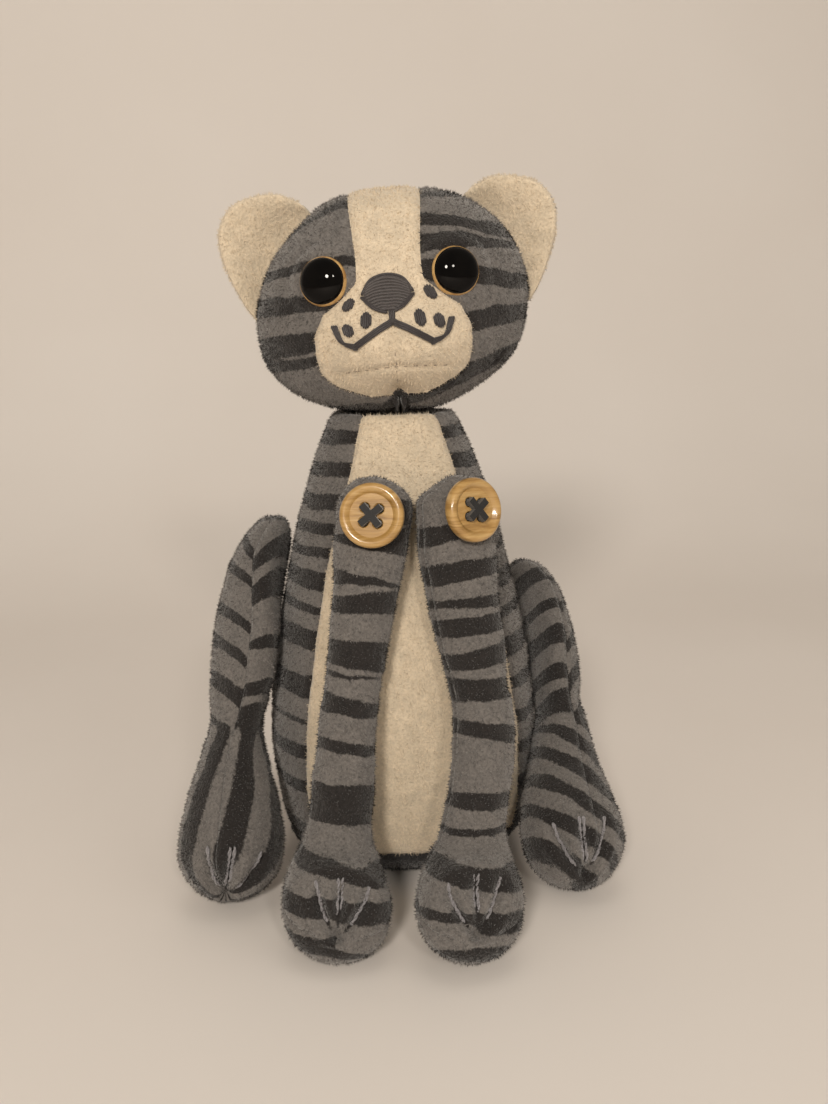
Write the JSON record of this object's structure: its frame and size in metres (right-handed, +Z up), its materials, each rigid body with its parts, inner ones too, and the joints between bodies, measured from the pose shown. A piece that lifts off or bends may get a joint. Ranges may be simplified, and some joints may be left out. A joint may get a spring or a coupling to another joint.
{
  "type": "jointed plush cat",
  "caption": "Sitting plush cat in striped grey and cream fleece, with button-jointed front legs, jointed hind legs, turning head, glossy eyes and stitched face.",
  "frame": {"origin": "centre of the base panel's underside, on the surface the cat sits on", "axes": "+Z up, the cat's front faces -Y, +X is the side to the right of someone facing the cat"},
  "size_m": [0.1147, 0.1335, 0.1788],
  "materials": {
    "striped_fleece": "matte",
    "dark_fleece": "matte",
    "cream_fleece": "matte",
    "fibre_fill": "matte",
    "bag_cloth": "matte",
    "mauve_thread": "satin",
    "grey_thread": "satin",
    "black_thread": "matte",
    "eye_plastic": "gloss",
    "joint_plastic": "matte",
    "lacquered_wood": "gloss"
  },
  "bodies": {
    "torso": {"belly_panel": "cream_fleece", "side_panel_left": "striped_fleece", "side_panel_right": "striped_fleece", "base_panel": "dark_fleece", "body_stuffing": "fibre_fill", "pellet_bag": "bag_cloth"},
    "head": {"face_gusset": "cream_fleece", "head_side_left": "striped_fleece", "head_side_right": "striped_fleece", "head_stuffing": "fibre_fill", "ear_front_left": "cream_fleece", "ear_front_right": "cream_fleece", "ear_back_left": "striped_fleece", "ear_back_right": "striped_fleece", "eye_left": "eye_plastic", "eye_right": "eye_plastic", "eye_washers": "joint_plastic", "nose_embroidery": "mauve_thread", "mouth_embroidery": "mauve_thread", "whisker_spots": "mauve_thread", "neck_joint_disc": "joint_plastic", "neck_joint_washer": "joint_plastic"},
    "tail": {"tail_cover": "striped_fleece", "tail_stuffing": "fibre_fill"},
    "front_leg_left": {"front_leg_front_left": "striped_fleece", "front_leg_back_left": "striped_fleece", "front_leg_stuffing_left": "fibre_fill", "front_toe_stitches_left": "grey_thread", "leg_button_left": "lacquered_wood", "button_thread_left": "black_thread", "inner_button_left": "joint_plastic"},
    "hind_leg_left": {"hind_leg_outer_left": "striped_fleece", "hind_leg_inner_left": "striped_fleece", "hind_leg_stuffing_left": "fibre_fill", "hind_toe_stitches_left": "grey_thread", "hip_disc_left": "joint_plastic", "hip_washer_left": "joint_plastic"},
    "front_leg_right": {"front_leg_front_right": "striped_fleece", "front_leg_back_right": "striped_fleece", "front_leg_stuffing_right": "fibre_fill", "front_toe_stitches_right": "grey_thread", "leg_button_right": "lacquered_wood", "button_thread_right": "black_thread", "inner_button_right": "joint_plastic"},
    "hind_leg_right": {"hind_leg_outer_right": "striped_fleece", "hind_leg_inner_right": "striped_fleece", "hind_leg_stuffing_right": "fibre_fill", "hind_toe_stitches_right": "grey_thread", "hip_disc_right": "joint_plastic", "hip_washer_right": "joint_plastic"}
  },
  "joints": [
    {"name": "head_turn", "type": "hinge", "parent": "torso", "child": "head", "pos_m": [0, 0, 0.122], "axis": [0, 0, 1], "range_deg": [-50, 65]},
    {"name": "front_leg_left_swing", "type": "hinge", "parent": "torso", "child": "front_leg_left", "pos_m": [-0.0112, -0.0294, 0.0984], "axis": [0, -0.9863, 0.165], "range_deg": [-95, 2]},
    {"name": "front_leg_right_swing", "type": "hinge", "parent": "torso", "child": "front_leg_right", "pos_m": [0.0112, -0.0294, 0.0981], "axis": [0, -0.9703, 0.2419], "range_deg": [-2, 95]},
    {"name": "hind_leg_left_hip", "type": "hinge", "parent": "torso", "child": "hind_leg_left", "pos_m": [-0.0419, 0, 0.0676], "axis": [-0.9833, 0, 0.1822], "range_deg": [0, 70]},
    {"name": "hind_leg_right_hip", "type": "hinge", "parent": "torso", "child": "hind_leg_right", "pos_m": [0.043, 0.0105, 0.0539], "axis": [-0.9998, 0, -0.0175], "range_deg": [0, 50]},
    {"name": "tail_swing", "type": "hinge", "parent": "torso", "child": "tail", "pos_m": [0, 0.0289, 0.006], "axis": [0, 0, 1], "range_deg": [-20, 20]}
  ]
}
